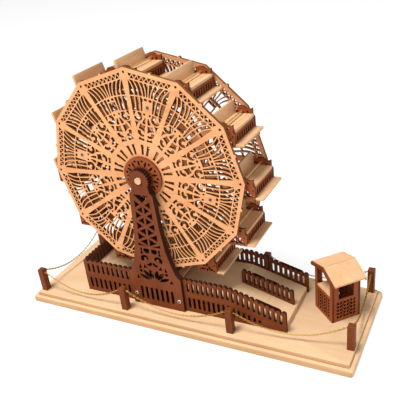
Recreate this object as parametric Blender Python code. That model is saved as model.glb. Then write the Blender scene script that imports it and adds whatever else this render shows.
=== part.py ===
# Tabletop model of a ferris wheel on a wooden board: fretted wheel, level gondolas, deck, ramp and booth.
# X runs along the board, Y goes from the front to the back, Z is up, and the origin is under the board.
import math

import bmesh
import bpy
from mathutils import Vector

GAP = 0.0003  # left between pieces that touch

# Board
BOARD_LENGTH = 0.670
BOARD_WIDTH = 0.235
BOARD_HEIGHT = 0.019
LEDGE_WIDTH = 0.008
LEDGE_HEIGHT = 0.012
BOARD_CORNER = 0.006
BOARD_OVERLAP = 0.004  # how far the upper layer reaches into the lower one

# Deck and ramp
SHEET = 0.006  # thickness of fences, deck and plates
FENCE_Y = 0.063  # middle of the front and back fences
FENCE_LEFT_X = -0.222
DECK_RIGHT = 0.0937
DECK_TOP = 0.0625
RAMP_END_X = 0.202
RAMP_END_TOP = 0.031
RAMP_FOOT = 0.012

# Fences
FENCE_TOP = 0.0925
FENCE_LOW_TOP = 0.0605
FENCE_RIGHT_X = 0.205
RAIL_HEIGHT = 0.030
RAIL_ENDS = (0.002, 0.005)  # from the ramp's two ends to the rail
RAIL_BAYS = 11
RAIL_EDGE = 0.006
SLOT_WIDTH = 0.0045
UPPER_SLOT = (0.064, 0.086)
LOWER_SLOT = (0.027, 0.052)
LEFT_SLOTS = 9
RIGHT_SLOTS = 19
END_SLOTS = 10

# Tower
AXLE_X = -0.053
AXLE_Z = 0.290
AXLE_RADIUS = 0.00635
AXLE_REACH = 0.074
TOWER_Y = 0.066
TOWER_THICKNESS = 0.012
TOWER_BASE = 0.056  # half the width at the foot
TOWER_BLOCK_TOP = 0.092
TOWER_SIDE = ((0.050, 0.0965), (0.046, 0.104), (0.033, 0.150), (0.027, 0.200), (0.0245, 0.250),
              (0.0235, 0.263), (0.0190, 0.267))
HEAD_RADIUS = 0.020
TOWER_SLOT = (0.033, 0.062)  # the seven slots in its block, from low to high
TOWER_SLOT_PITCH = 0.011
SCROLL_FIELDS = ((0.081, 0.104), (0.110, 0.148))
SCROLL_STILE = 0.009
LATTICE_LOW = 0.155
LATTICE_CELL = 0.0265
LATTICE_CELLS = 4
LATTICE_BAR = 0.0022
LATTICE_STILE = 0.006

# Wheel
SIDES = 12
STEP = 360 / SIDES
FIRST_ROD = 92.0
ROD_CIRCLE = 0.185
CORNER_RADIUS = 0.193
PLATE_Y = 0.0497  # middle of each fretted plate
ROD_RADIUS = 0.0016
ROD_HOLE = 0.0020
SPACER_CIRCLE = 0.130
SPACER_RADIUS = 0.004
HUB_RADIUS = 0.038
WASHER_RADIUS = 0.022
HUB_Y = (0.0530, 0.0570, 0.0594)

# Gondola, measured from its rod, with +X towards the footboard
GONDOLA_HALF = 0.0435
SIDE_THICKNESS = 0.005

# Posts and chain
POST = 0.0125
POST_HEIGHT = 0.050
CHAIN_RADIUS = 0.0015
CHAIN_DROP = 0.007  # from a post's top down to the chain
CHAIN_HOLE = 0.0026
POSTS = ((-0.315, -0.094), (-0.1135, -0.097), (0.109, -0.0945), (0.320, -0.068),
         (0.315, 0.102), (0.109, 0.097), (-0.1135, 0.097), (-0.302, 0.097))

# Booth, measured from its near corner along its front wall (X) and its counter wall (Y)
BOOTH_CORNER = (0.2725, -0.0155)
BOOTH_TURN = 46.7
BOOTH_LONG = 0.057
BOOTH_DEEP = 0.059
WALL = 0.004
RIDGE = (0.0255, 0.1255)
NEAR_EAVE = (-0.0115, 0.1060)
FAR_EAVE = (0.0650, 0.1165)
ROOF_THICKNESS = 0.003
ROOF_OVERHANG = 0.005
BOOTH_STILE = 0.008  # wall left beside and above a window
BOOTH_SILL = 0.0715
FRONT_WINDOW = (0.013, 0.0435, 0.067, 0.094)
FRET_LOW = 0.026
FRET_HIGH = 0.066
FRONT_FRET_HIGH = 0.062
LEAF = 0.36  # half a leaf-shaped hole as a share of its cell
COUNTER = (0.0002, 0.020)
COUNTER_TOP = 0.0750
GABLE_BOARD = 0.003
GABLE_BOARD_DEEP = 0.0065


def clear_scene():
    for item in list(bpy.data.objects):
        bpy.data.objects.remove(item, do_unlink=True)


def finish(name, colour, roughness, metallic=0.0):
    """A plain surface of one colour."""
    surface = bpy.data.materials.new(name)
    surface.use_nodes = True
    shader = surface.node_tree.nodes["Principled BSDF"]
    shader.inputs["Base Color"].default_value = (*colour, 1)
    shader.inputs["Roughness"].default_value = roughness
    shader.inputs["Metallic"].default_value = metallic
    return surface


clear_scene()
MAPLE = finish("maple", (0.76, 0.48, 0.25), 0.55)
WALNUT = finish("walnut", (0.10, 0.030, 0.015), 0.5)
MAHOGANY = finish("mahogany", (0.36, 0.11, 0.045), 0.5)
BRASS = finish("brass", (0.80, 0.58, 0.22), 0.3, 1.0)


def add_object(name, mesh, surface, location=(0, 0, 0), rotation=(0, 0, 0), parent=None):
    item = bpy.data.objects.new(name, mesh)
    mesh.materials.clear()
    mesh.materials.append(surface)
    item.location = location
    item.rotation_euler = rotation
    item.parent = parent
    bpy.context.scene.collection.objects.link(item)
    return item


def baked(item):
    """The item's mesh with its modifiers applied, its seams merged and its faces outward."""
    bpy.context.view_layer.update()
    graph = bpy.context.evaluated_depsgraph_get()
    mesh = bpy.data.meshes.new_from_object(item.evaluated_get(graph))
    bpy.data.objects.remove(item, do_unlink=True)
    form = bmesh.new()
    form.from_mesh(mesh)
    bmesh.ops.remove_doubles(form, verts=form.verts, dist=1e-6)
    bmesh.ops.recalc_face_normals(form, faces=form.faces)
    form.to_mesh(mesh)
    form.free()
    return mesh


def sheet_mesh(outline, holes, thickness):
    """A flat sheet with its outline and holes in XY, and its thickness shared on both sides of Z = 0."""
    curve = bpy.data.curves.new("sheet", "CURVE")
    curve.dimensions = "2D"
    curve.fill_mode = "BOTH"
    curve.extrude = thickness / 2
    for loop in [outline, *holes]:
        spline = curve.splines.new("POLY")
        spline.points.add(len(loop) - 1)
        for point, (x, y) in zip(spline.points, loop):
            point.co = (x, y, 0, 1)
        spline.use_cyclic_u = True
    item = bpy.data.objects.new("sheet", curve)
    bpy.context.scene.collection.objects.link(item)
    return baked(item)


UPRIGHT = (math.pi / 2, 0, 0)  # stands a sheet up, facing the front
SIDEWAYS = (math.pi / 2, 0, math.pi / 2)  # stands a sheet up, with its outline in Y and Z


def box_mesh(x, y, z):
    """A block between two values on each axis."""
    form = bmesh.new()
    bmesh.ops.create_cube(form, size=1)
    for vertex in form.verts:
        vertex.co = [low + (high - low) * (side + 0.5) for side, (low, high) in zip(vertex.co, (x, y, z))]
    mesh = bpy.data.meshes.new("block")
    form.to_mesh(mesh)
    form.free()
    return mesh


def rod_mesh(radius, low, high, sides):
    """A round bar along Y."""
    form = bmesh.new()
    bmesh.ops.create_cone(form, cap_ends=True, segments=sides, radius1=radius, radius2=radius,
                          depth=high - low)
    for vertex in form.verts:
        x, y, z = vertex.co
        vertex.co = (x, z + (low + high) / 2, -y)
    mesh = bpy.data.meshes.new("rod")
    form.to_mesh(mesh)
    form.free()
    return mesh


def joined(meshes, operation="UNION"):
    """The first mesh with the others added to it or cut from it."""
    body = bpy.data.objects.new("body", meshes[0])
    bpy.context.scene.collection.objects.link(body)
    for number, mesh in enumerate(meshes[1:]):
        tool = bpy.data.objects.new(f"tool_{number}", mesh)
        tool.hide_render = True
        tool.display_type = "WIRE"
        bpy.context.scene.collection.objects.link(tool)
        step = body.modifiers.new(f"step_{number}", "BOOLEAN")
        step.operation = operation
        step.object = tool
    mesh = baked(body)
    for item in [item for item in bpy.data.objects if item.name.startswith("tool_")]:
        bpy.data.objects.remove(item, do_unlink=True)
    return mesh


def rectangle(x0, x1, y0, y1):
    return [(x0, y0), (x1, y0), (x1, y1), (x0, y1)]


def polar(radius, degrees):
    angle = math.radians(degrees)
    return radius * math.cos(angle), radius * math.sin(angle)


def circle(radius, sides, centre=(0, 0), turn=0):
    return [(centre[0] + x, centre[1] + y)
            for x, y in (polar(radius, turn + 360 * n / sides) for n in range(sides))]


def add_board():
    """The base board, with a lower ledge all round its top edge."""
    layers = ((BOARD_LENGTH, BOARD_WIDTH, 0, LEDGE_HEIGHT, BOARD_CORNER),
              (BOARD_LENGTH - 2 * LEDGE_WIDTH, BOARD_WIDTH - 2 * LEDGE_WIDTH, LEDGE_HEIGHT - BOARD_OVERLAP,
               BOARD_HEIGHT, BOARD_CORNER * 0.7))
    meshes = []
    for length, width, low, high, radius in layers:
        outline = []
        for quarter, (sx, sy) in enumerate(((1, 1), (-1, 1), (-1, -1), (1, -1))):
            middle = (sx * (length / 2 - radius), sy * (width / 2 - radius))
            for turn in (0, 45, 90):
                x, y = polar(radius, 90 * quarter + turn)
                outline.append((middle[0] + x, middle[1] + y))
        mesh = sheet_mesh(outline, [], high - low)
        for vertex in mesh.vertices:
            vertex.co.z += (low + high) / 2
        meshes.append(mesh)
    add_object("base_board", joined(meshes), MAPLE)


def ramp_top(x):
    """Height of the walking surface, which is level on the deck and falls along the ramp."""
    slope = (DECK_TOP - RAMP_END_TOP) / (RAMP_END_X - DECK_RIGHT)
    return DECK_TOP - slope * max(0, x - DECK_RIGHT)


def add_deck():
    side = FENCE_Y - SHEET / 2 - GAP
    deck = box_mesh((FENCE_LEFT_X + SHEET / 2 + GAP, DECK_RIGHT - GAP), (-side, side),
                    (DECK_TOP - SHEET, DECK_TOP))
    add_object("deck", deck, MAPLE)
    foot = BOARD_HEIGHT + GAP
    outline = [(DECK_RIGHT, DECK_TOP), (DECK_RIGHT, DECK_TOP - SHEET), (RAMP_END_X - RAMP_FOOT, foot),
               (RAMP_END_X, foot), (RAMP_END_X, RAMP_END_TOP)]
    add_object("ramp", sheet_mesh(outline, [], 2 * side), MAPLE, rotation=UPRIGHT)


def pickets(start, end, count, top):
    """Points of a scalloped top edge from start to end, one round head for each picket."""
    pitch = (end - start) / count
    points = []
    for number in range(count):
        middle = start + (number + 0.5) * pitch
        for turn in (155, 90, 25):
            x, z = polar(pitch / 2, turn)
            points.append((middle + x, top(middle + x) + (z - pitch / 2) * 0.6))
    return points


def add_fence(name, start, end, slots, location, rotation, top):
    """A fence panel with two rows of slots and a scalloped top."""
    foot = BOARD_HEIGHT + GAP
    pitch = (end - start) / (slots + 1)
    outline = [(start, foot), (end, foot), *reversed(pickets(start, end, slots + 1, top))]
    holes = []
    for number in range(slots):
        middle = start + (number + 1) * pitch
        fall = DECK_TOP - ramp_top(middle)
        x0, x1 = middle - SLOT_WIDTH / 2, middle + SLOT_WIDTH / 2
        holes.append(rectangle(x0, x1, UPPER_SLOT[0] - fall, UPPER_SLOT[1] - fall))
        if LOWER_SLOT[1] - fall - LOWER_SLOT[0] > SLOT_WIDTH:
            holes.append(rectangle(x0, x1, LOWER_SLOT[0], LOWER_SLOT[1] - fall))
    add_object(name, sheet_mesh(outline, holes, SHEET), WALNUT, location, rotation)


def fence_top(x):
    slope = (FENCE_TOP - FENCE_LOW_TOP) / (FENCE_RIGHT_X - DECK_RIGHT)
    return FENCE_TOP - slope * max(0, x - DECK_RIGHT)


def add_fences():
    tower_left = AXLE_X - TOWER_BASE - GAP
    tower_right = AXLE_X + TOWER_BASE + GAP
    left = FENCE_LEFT_X - SHEET / 2
    for side, y in (("front", -FENCE_Y), ("back", FENCE_Y)):
        add_fence(f"fence_{side}_left", left, tower_left, LEFT_SLOTS, (0, y, 0), UPRIGHT, fence_top)
        add_fence(f"fence_{side}_right", tower_right, FENCE_RIGHT_X, RIGHT_SLOTS, (0, y, 0), UPRIGHT,
                  fence_top)
    reach = FENCE_Y - SHEET / 2 - GAP
    add_fence("fence_left", -reach, reach, END_SLOTS, (FENCE_LEFT_X, 0, 0), SIDEWAYS, lambda y: FENCE_TOP)


def add_ramp_rail():
    """The low fence down the middle of the ramp."""
    start, end = DECK_RIGHT + RAIL_ENDS[0], RAMP_END_X - RAIL_ENDS[1]
    pitch = (end - start) / RAIL_BAYS
    outline = [(start, ramp_top(start) + GAP), (end, ramp_top(end) + GAP)]
    outline += reversed(pickets(start, end, RAIL_BAYS, lambda x: ramp_top(x) + RAIL_HEIGHT))
    holes = []
    high = RAIL_HEIGHT - RAIL_EDGE
    for number in range(1, RAIL_BAYS):
        x = start + number * pitch
        x0, x1 = x - SLOT_WIDTH / 2, x + SLOT_WIDTH / 2
        holes.append([(x0, ramp_top(x0) + RAIL_EDGE), (x1, ramp_top(x1) + RAIL_EDGE),
                      (x1, ramp_top(x1) + high), (x0, ramp_top(x0) + high)])
    add_object("ramp_rail", sheet_mesh(outline, holes, SHEET), WALNUT, rotation=UPRIGHT)


def tower_half(z):
    """Half the tower's width at a height, between the corners of its side."""
    for (w0, z0), (w1, z1) in zip(TOWER_SIDE, TOWER_SIDE[1:]):
        if z <= z1:
            return w0 + (w1 - w0) * (z - z0) / (z1 - z0)
    return TOWER_SIDE[-1][0]


def tower_sheet():
    """A tower about its own middle line: a slotted block, a scroll field and four crossed fields."""
    right = [(TOWER_BASE, BOARD_HEIGHT + GAP), (TOWER_BASE, TOWER_BLOCK_TOP), *TOWER_SIDE]
    head = [(x, AXLE_Z + z) for x, z in (polar(HEAD_RADIUS, turn) for turn in range(-30, 211, 15))]
    left = [(-x, z) for x, z in reversed(right)]
    outline = right + head + left
    holes = [circle(AXLE_RADIUS + GAP, 16, (0, AXLE_Z), 11.25)]
    for number in range(-3, 4):
        x = number * TOWER_SLOT_PITCH
        holes.append(rectangle(x - SLOT_WIDTH / 2, x + SLOT_WIDTH / 2, *TOWER_SLOT))
    for side in (-1, 1):
        for low, high in SCROLL_FIELDS:
            inner = side * 0.004
            holes.append([(inner, low), (side * (tower_half(low) - SCROLL_STILE), low),
                          (side * (tower_half(high) - SCROLL_STILE), high), (inner, high)])
    bar = LATTICE_BAR
    levels = [LATTICE_LOW + LATTICE_CELL * number for number in range(LATTICE_CELLS + 1)]
    for low, high in zip(levels, levels[1:]):
        w0, w1 = tower_half(low) - LATTICE_STILE, tower_half(high) - LATTICE_STILE
        middle = (low + high) / 2
        wide = (w0 + w1) / 2
        holes.append([(-w0 + 2.2 * bar, low + bar), (w0 - 2.2 * bar, low + bar), (0, middle - 1.6 * bar)])
        holes.append([(-w1 + 2.2 * bar, high - bar), (w1 - 2.2 * bar, high - bar), (0, middle + 1.6 * bar)])
        for side in (-1, 1):
            holes.append([(side * wide, low + 2.4 * bar), (side * wide, high - 2.4 * bar),
                          (side * 2.4 * bar, middle)])
    return sheet_mesh(outline, holes, TOWER_THICKNESS)


def add_towers():
    mesh = tower_sheet()
    for side, y in (("front", -TOWER_Y), ("back", TOWER_Y)):
        add_object(f"tower_{side}", mesh, WALNUT, (AXLE_X, y, 0), UPRIGHT)


def sector_holes(solid_pad):
    """Openings of one twelfth of a wheel plate, as (sideways, outward) about the middle of the sector."""
    holes = [rectangle(-0.009, 0.009, 0.1495, 0.1675)]
    if not solid_pad:
        holes.append(rectangle(-0.008, 0.008, 0.1235, 0.140))
    for side in (-1, 1):
        inner = [polar(0.149, 90 - side * turn) for turn in (4.3, 7.6, 8.7, 13.0)]
        holes.append([inner[0], inner[1], (side * 0.0265, 0.1675), (side * 0.012, 0.1675)])
        holes.append([inner[2], inner[3], (side * 0.0370, 0.1660), (side * 0.0305, 0.1675)])
        for low, high, first, last in ((0.1215, 0.1435, 4.9, 12.7), (0.072, 0.1165, 2.2, 11.2)):
            holes.append([polar(radius, 90 - side * turn)
                          for radius, turn in ((low, first), (low, last), (high, last), (high, first))])
        x, y = polar(1, 90 - side * 5)
        across = (-y * side * 0.0015, x * side * 0.0015)
        holes.append([(r * x + way * across[0], r * y + way * across[1])
                      for r, way in ((0.0415, -1), (0.0415, 1), (0.0565, 1), (0.0565, -1))])
    return holes


def wheel_sheet():
    """A fretted twelve-sided plate about the axle, with a small nub halfway along each side."""
    side = CORNER_RADIUS * math.cos(math.radians(STEP / 2))
    outline = []
    holes = [circle(AXLE_RADIUS + GAP, 16)]
    for number in range(SIDES):
        corner = FIRST_ROD + STEP * number
        outline.append(polar(CORNER_RADIUS, corner))
        holes.append(circle(ROD_HOLE, 8, polar(ROD_CIRCLE, corner), corner))
        middle = corner + STEP / 2
        out, along = polar(1, middle), polar(1, middle + 90)
        for way, height in ((-0.003, 0), (-0.0018, 0.0026), (0.0018, 0.0026), (0.003, 0)):
            outline.append(tuple(out[i] * (side + height) + along[i] * way for i in (0, 1)))
        for loop in sector_holes(solid_pad=number % 3 == 2):
            holes.append([tuple(out[i] * up - along[i] * across for i in (0, 1)) for across, up in loop])
    return sheet_mesh(outline, holes, SHEET)


def turned(name, profile, surface, parent, sides=24):
    """A ring turned about the axle, from a closed profile of (radius, y)."""
    form = bmesh.new()
    points = [form.verts.new((radius, y, 0)) for radius, y in profile]
    edges = [form.edges.new((a, b)) for a, b in zip(points, points[1:] + points[:1])]
    bmesh.ops.spin(form, geom=points + edges, cent=(0, 0, 0), axis=(0, 1, 0), angle=math.tau, steps=sides)
    bmesh.ops.remove_doubles(form, verts=form.verts, dist=1e-6)
    bmesh.ops.recalc_face_normals(form, faces=form.faces)
    mesh = bpy.data.meshes.new(name)
    form.to_mesh(mesh)
    form.free()
    mesh.shade_smooth()
    mesh.set_sharp_from_angle(angle=math.radians(40))
    return add_object(name, mesh, surface, parent=parent)


def add_wheel():
    """The two plates, the axle, the hub discs with their washers, and four spacers, about the axle."""
    centre = bpy.data.objects.new("wheel_axis", None)
    centre.location = (AXLE_X, 0, AXLE_Z)
    bpy.context.scene.collection.objects.link(centre)
    plate = wheel_sheet()
    add_object("wheel_front", plate, MAPLE, (0, -PLATE_Y, 0), UPRIGHT, centre)
    add_object("wheel_back", plate, MAPLE, (0, PLATE_Y, 0), UPRIGHT, centre)
    add_object("axle", rod_mesh(AXLE_RADIUS, -AXLE_REACH, AXLE_REACH, 16), MAPLE, parent=centre)
    bore = AXLE_RADIUS + GAP
    inner, step, outer = HUB_Y
    for name, side in (("hub_front", -1), ("hub_back", 1)):
        profile = [(bore, side * inner), (HUB_RADIUS, side * inner), (HUB_RADIUS, side * step),
                   (WASHER_RADIUS, side * step), (WASHER_RADIUS, side * outer), (bore, side * outer)]
        turned(name, profile, MAHOGANY, centre)
    reach = PLATE_Y - SHEET / 2 - GAP
    for number in range(4):
        x, z = polar(SPACER_CIRCLE, FIRST_ROD - STEP / 2 - 90 * number)
        add_object(f"wheel_spacer_{number + 1}", rod_mesh(SPACER_RADIUS, -reach, reach, 10), MAPLE,
                   (x, 0, z), parent=centre)


def gondola_mesh():
    """A bench with fretted ends on its rod: ends, back board, seat, riser and footboard in one body."""
    end = [(-0.017, -0.031), (0.021, -0.031), (0.021, -0.010), (0.018, -0.007), (0.018, 0.005),
           (0.008, 0.003), (0.003, 0.0075), (-0.006, 0.0075), (-0.017, -0.006)]
    frets = [[(-0.012, -0.027), (0.012, -0.027), (0.008, -0.014), (-0.008, -0.014)]]
    meshes = []
    for side in (-1, 1):
        mesh = sheet_mesh(end, frets, SIDE_THICKNESS)
        middle = side * (GONDOLA_HALF - SIDE_THICKNESS / 2)
        for vertex in mesh.vertices:
            x, z, y = vertex.co
            vertex.co = (x, middle - y, z)
        meshes.append(mesh)
    inside = GONDOLA_HALF - SIDE_THICKNESS + 0.001
    boards = (
        [(-0.018, -0.0045), (-0.0125, -0.0060), (-0.0185, 0.0165), (-0.0235, 0.0150)],
        [(-0.0160, -0.0095), (0.0205, -0.0095), (0.0205, -0.0045), (-0.0160, -0.0045)],
        [(0.0165, -0.0305), (0.0200, -0.0305), (0.0200, -0.0085), (0.0165, -0.0085)],
        [(0.0170, -0.0312), (0.0350, -0.0312), (0.0350, -0.0270), (0.0170, -0.0270)],
    )
    for number, outline in enumerate(boards):
        reach = inside if number else GONDOLA_HALF - 0.0002
        mesh = sheet_mesh(outline, [], 2 * reach)
        for vertex in mesh.vertices:
            x, z, y = vertex.co
            vertex.co = (x, -y, z)
        meshes.append(mesh)
    meshes.append(rod_mesh(ROD_RADIUS, -PLATE_Y - SHEET / 2 + 0.0005, PLATE_Y + SHEET / 2 - 0.0005, 8))
    return joined(meshes)


def add_gondolas():
    mesh = gondola_mesh()
    for number in range(SIDES):
        x, z = polar(ROD_CIRCLE, FIRST_ROD - STEP * number)
        add_object(f"gondola_{number + 1:02d}", mesh, MAHOGANY, (AXLE_X + x, 0, AXLE_Z + z))


def add_posts():
    """Square posts with bevelled tops, each bored where a chain passes through it."""
    low, high = BOARD_HEIGHT + GAP, BOARD_HEIGHT + GAP + POST_HEIGHT
    block = box_mesh((-POST / 2, POST / 2), (-POST / 2, POST / 2), (low, high))
    form = bmesh.new()
    form.from_mesh(block)
    rim = [edge for edge in form.edges if min(vertex.co.z for vertex in edge.verts) > high - 1e-5]
    bmesh.ops.bevel(form, geom=rim, offset=0.0012, segments=1, affect="EDGES")
    form.to_mesh(block)
    form.free()
    hole = rod_mesh(CHAIN_HOLE, -POST, POST, 8)
    for vertex in hole.vertices:
        x, y, z = vertex.co
        vertex.co = (y, x, z + high - CHAIN_DROP)
    hole.flip_normals()
    bored = joined([block.copy(), hole], "DIFFERENCE")
    for number, (x, y) in enumerate(POSTS, 1):
        mesh = bored if number in (2, 3, 6, 7) else block
        add_object(f"post_{number}", mesh, WALNUT, (x, y, 0))


def sagging(start, end, sag, pieces):
    """Points of a hanging chain between two ends, on a parabola that drops by sag in its middle."""
    points = []
    for number in range(pieces + 1):
        share = number / pieces
        point = Vector(start).lerp(Vector(end), share)
        point.z -= 4 * sag * share * (1 - share)
        points.append(point)
    return points


def add_chain(name, stops, sag, pieces):
    """A chain from the face of its first post to the face of its last, level where it passes through one."""
    height = BOARD_HEIGHT + GAP + POST_HEIGHT - CHAIN_DROP
    marks = [Vector((*POSTS[stop], height)) for stop in stops]
    points = []
    for here, there in zip(marks, marks[1:]):
        way = (there - here) / max(abs(there.x - here.x), abs(there.y - here.y))
        clear = way * (POST / 2 + CHAIN_RADIUS)
        points += sagging(here + clear, there - clear, sag, pieces)
    stub = CHAIN_RADIUS - 2 * GAP
    for index, inner in ((0, 1), (-1, -2)):
        way = marks[index] - marks[inner]
        place = points[index] + way.normalized() * stub
        points.insert(0 if index == 0 else len(points), place)
    curve = bpy.data.curves.new(name, "CURVE")
    curve.dimensions = "3D"
    curve.bevel_depth = CHAIN_RADIUS
    curve.bevel_resolution = 2
    curve.use_fill_caps = True
    spline = curve.splines.new("POLY")
    spline.points.add(len(points) - 1)
    for point, place in zip(spline.points, points):
        point.co = (*place, 1)
    item = bpy.data.objects.new(name, curve)
    curve.materials.append(BRASS)
    bpy.context.scene.collection.objects.link(item)


def add_chains():
    add_chain("chain_front", (0, 1, 2, 3), 0.031, 9)
    add_chain("chain_right", (3, 4), 0.027, 7)
    add_chain("chain_back", (4, 5, 6, 7), 0.031, 9)
    add_chain("chain_left", (7, 0), 0.026, 7)


def roof_line(y):
    """Height of the roof's upper surface across the booth."""
    eave = NEAR_EAVE if y < RIDGE[0] else FAR_EAVE
    return RIDGE[1] + (eave[1] - RIDGE[1]) * (y - RIDGE[0]) / (eave[0] - RIDGE[0])


def diamonds(x0, x1, z0, z1, columns, rows):
    """A field of leaf-shaped holes between two values on each axis."""
    wide, high = (x1 - x0) / columns, (z1 - z0) / rows
    holes = []
    for column in range(columns):
        for row in range(rows):
            x, z = x0 + (column + 0.5) * wide, z0 + (row + 0.5) * high
            reach, rise = LEAF * wide, LEAF * high
            holes.append([(x - reach, z), (x, z - rise), (x + reach, z), (x, z + rise)])
    return holes


def gable(inset, low):
    """Corners of a pitched field, inset from the side walls' faces and from under the roof."""
    under = ROOF_THICKNESS * 1.2 + GAP + inset
    return [(inset, low), (BOOTH_DEEP - inset, low), (BOOTH_DEEP - inset, roof_line(BOOTH_DEEP - inset) - under),
            (RIDGE[0], RIDGE[1] - under), (inset, roof_line(inset) - under)]


def add_booth():
    """The booth: four thin walls, a counter, a roof of two boards, and boards along its gables."""
    corner = bpy.data.objects.new("booth_corner", None)
    corner.location = (*BOOTH_CORNER, 0)
    corner.rotation_euler = (0, 0, math.radians(BOOTH_TURN))
    bpy.context.scene.collection.objects.link(corner)
    foot = BOARD_HEIGHT + GAP

    frets = diamonds(BOOTH_STILE, BOOTH_DEEP - BOOTH_STILE, FRET_LOW, FRET_HIGH, 3, 3)
    window = gable(BOOTH_STILE, BOOTH_SILL)
    for name, x, holes in (("booth_counter_wall", WALL / 2, [window, *frets]),
                           ("booth_far_wall", BOOTH_LONG - WALL / 2, frets)):
        add_object(name, sheet_mesh(gable(0, foot), holes, WALL), MAHOGANY, (x, 0, 0), SIDEWAYS, corner)

    x0, x1 = WALL + GAP, BOOTH_LONG - WALL - GAP
    under = ROOF_THICKNESS * 1.2 + GAP
    inset = BOOTH_STILE - WALL
    frets = diamonds(x0 + inset, x1 - inset, FRET_LOW, FRONT_FRET_HIGH, 3, 3)
    for name, y, top, holes in (
            ("booth_front_wall", WALL / 2, roof_line(0), [rectangle(*FRONT_WINDOW), *frets]),
            ("booth_back_wall", BOOTH_DEEP - WALL / 2, roof_line(BOOTH_DEEP), frets)):
        wall = sheet_mesh(rectangle(x0, x1, foot, top - under), holes, WALL)
        add_object(name, wall, MAHOGANY, (0, y, 0), UPRIGHT, corner)

    inset = BOOTH_STILE + GAP
    counter = box_mesh(COUNTER, (inset, BOOTH_DEEP - inset), (BOOTH_SILL + GAP, COUNTER_TOP))
    add_object("booth_counter", counter, MAPLE, parent=corner)

    low, high = -ROOF_OVERHANG, BOOTH_LONG + ROOF_OVERHANG
    thick = ROOF_THICKNESS
    near = [(RIDGE[0] - GAP, RIDGE[1]), NEAR_EAVE, (NEAR_EAVE[0], NEAR_EAVE[1] - thick),
            (RIDGE[0] - GAP, RIDGE[1] - thick)]
    far = [(RIDGE[0] + GAP, RIDGE[1]), FAR_EAVE, (FAR_EAVE[0], FAR_EAVE[1] - thick),
           (RIDGE[0] + GAP, RIDGE[1] - thick)]
    for name, outline in (("booth_roof_near", near), ("booth_roof_far", far)):
        slab = sheet_mesh(outline, [], high - low - 2 * GABLE_BOARD - 2 * GAP)
        add_object(name, slab, MAPLE, ((low + high) / 2, 0, 0), SIDEWAYS, corner)
    deep = GABLE_BOARD_DEEP
    barge = [NEAR_EAVE, RIDGE, FAR_EAVE, (FAR_EAVE[0], FAR_EAVE[1] - deep), (RIDGE[0], RIDGE[1] - deep),
             (NEAR_EAVE[0], NEAR_EAVE[1] - deep)]
    for name, x in (("booth_gable_board_near", low + GABLE_BOARD / 2),
                    ("booth_gable_board_far", high - GABLE_BOARD / 2)):
        add_object(name, sheet_mesh(barge, [], GABLE_BOARD), MAHOGANY, (x, 0, 0), SIDEWAYS, corner)



add_board()
add_deck()
add_fences()
add_ramp_rail()
add_towers()
add_wheel()
add_gondolas()
add_posts()
add_chains()
add_booth()
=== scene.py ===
# Looks for a wooden tabletop ferris wheel. Shapes are worked out in millimetres and written in metres.
import math

import bmesh
import bpy
import numpy as np
from mathutils import Matrix, Vector
from mathutils.geometry import delaunay_2d_cdt


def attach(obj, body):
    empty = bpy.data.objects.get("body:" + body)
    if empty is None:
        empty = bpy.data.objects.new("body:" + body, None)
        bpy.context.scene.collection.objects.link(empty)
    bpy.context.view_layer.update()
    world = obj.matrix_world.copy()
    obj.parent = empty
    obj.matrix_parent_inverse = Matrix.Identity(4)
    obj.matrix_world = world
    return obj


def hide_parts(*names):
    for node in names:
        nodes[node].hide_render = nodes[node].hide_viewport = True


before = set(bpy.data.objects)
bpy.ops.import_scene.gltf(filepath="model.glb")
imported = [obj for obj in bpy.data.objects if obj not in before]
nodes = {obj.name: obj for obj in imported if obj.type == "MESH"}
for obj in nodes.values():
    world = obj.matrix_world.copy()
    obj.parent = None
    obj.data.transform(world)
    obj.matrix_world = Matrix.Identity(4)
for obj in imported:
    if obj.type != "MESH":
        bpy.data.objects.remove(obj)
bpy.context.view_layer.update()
scene = bpy.context.scene

# ---- camera, lights, floor
view = {
    "place": (0.5005, -0.8401, 0.7157),
    "yaw": 28.915, "pitch": 28.613, "roll": -6.470,  # degrees
    "lens": 51.53,  # on a 36 mm sensor
    "shift": 0.0231,
}


def setCamera():
    # aims along yaw and pitch, then rolls about the line of sight
    yaw, pitch, roll = (math.radians(view[name]) for name in ("yaw", "pitch", "roll"))
    ahead = Vector((-math.sin(yaw) * math.cos(pitch), math.cos(yaw) * math.cos(pitch), -math.sin(pitch)))
    right = Vector((math.cos(yaw), math.sin(yaw), 0))
    up = right.cross(ahead)
    side = right * math.cos(roll) + up * math.sin(roll)
    top = up * math.cos(roll) - right * math.sin(roll)
    data = bpy.data.cameras.new("camera")
    data.lens = view["lens"]
    data.sensor_width = 36
    data.shift_y = view["shift"]
    camera = bpy.data.objects.new("camera", data)
    camera.matrix_world = Matrix.Translation(view["place"]) @ Matrix((side, top, -ahead)).transposed().to_4x4()
    scene.collection.objects.link(camera)
    scene.camera = camera


studio = {
    "floor": 0.28, "floorSize": 12,
    "floorGlow": 0.72, "world": 0.48,
    "key": {"place": (-0.8, -1.5, 4.9), "size": 1.5, "power": 276},
    "fill": {"place": (-1.8, -3.4, 1.5), "size": 2.8, "power": 50},
    "side": {"place": (3.5, -1.6, 1.0), "size": 2.8, "power": 32},
}


def addAreaLight(name, place, size, power, aim=(0, 0, 0.15)):
    # a square soft box turned to face the model
    data = bpy.data.lights.new(name, "AREA")
    data.shape = "SQUARE"
    data.size = size
    data.energy = power
    light = bpy.data.objects.new(name, data)
    light.location = place
    light.rotation_euler = (Vector(aim) - Vector(place)).to_track_quat("-Z", "Y").to_euler()
    scene.collection.objects.link(light)


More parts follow.
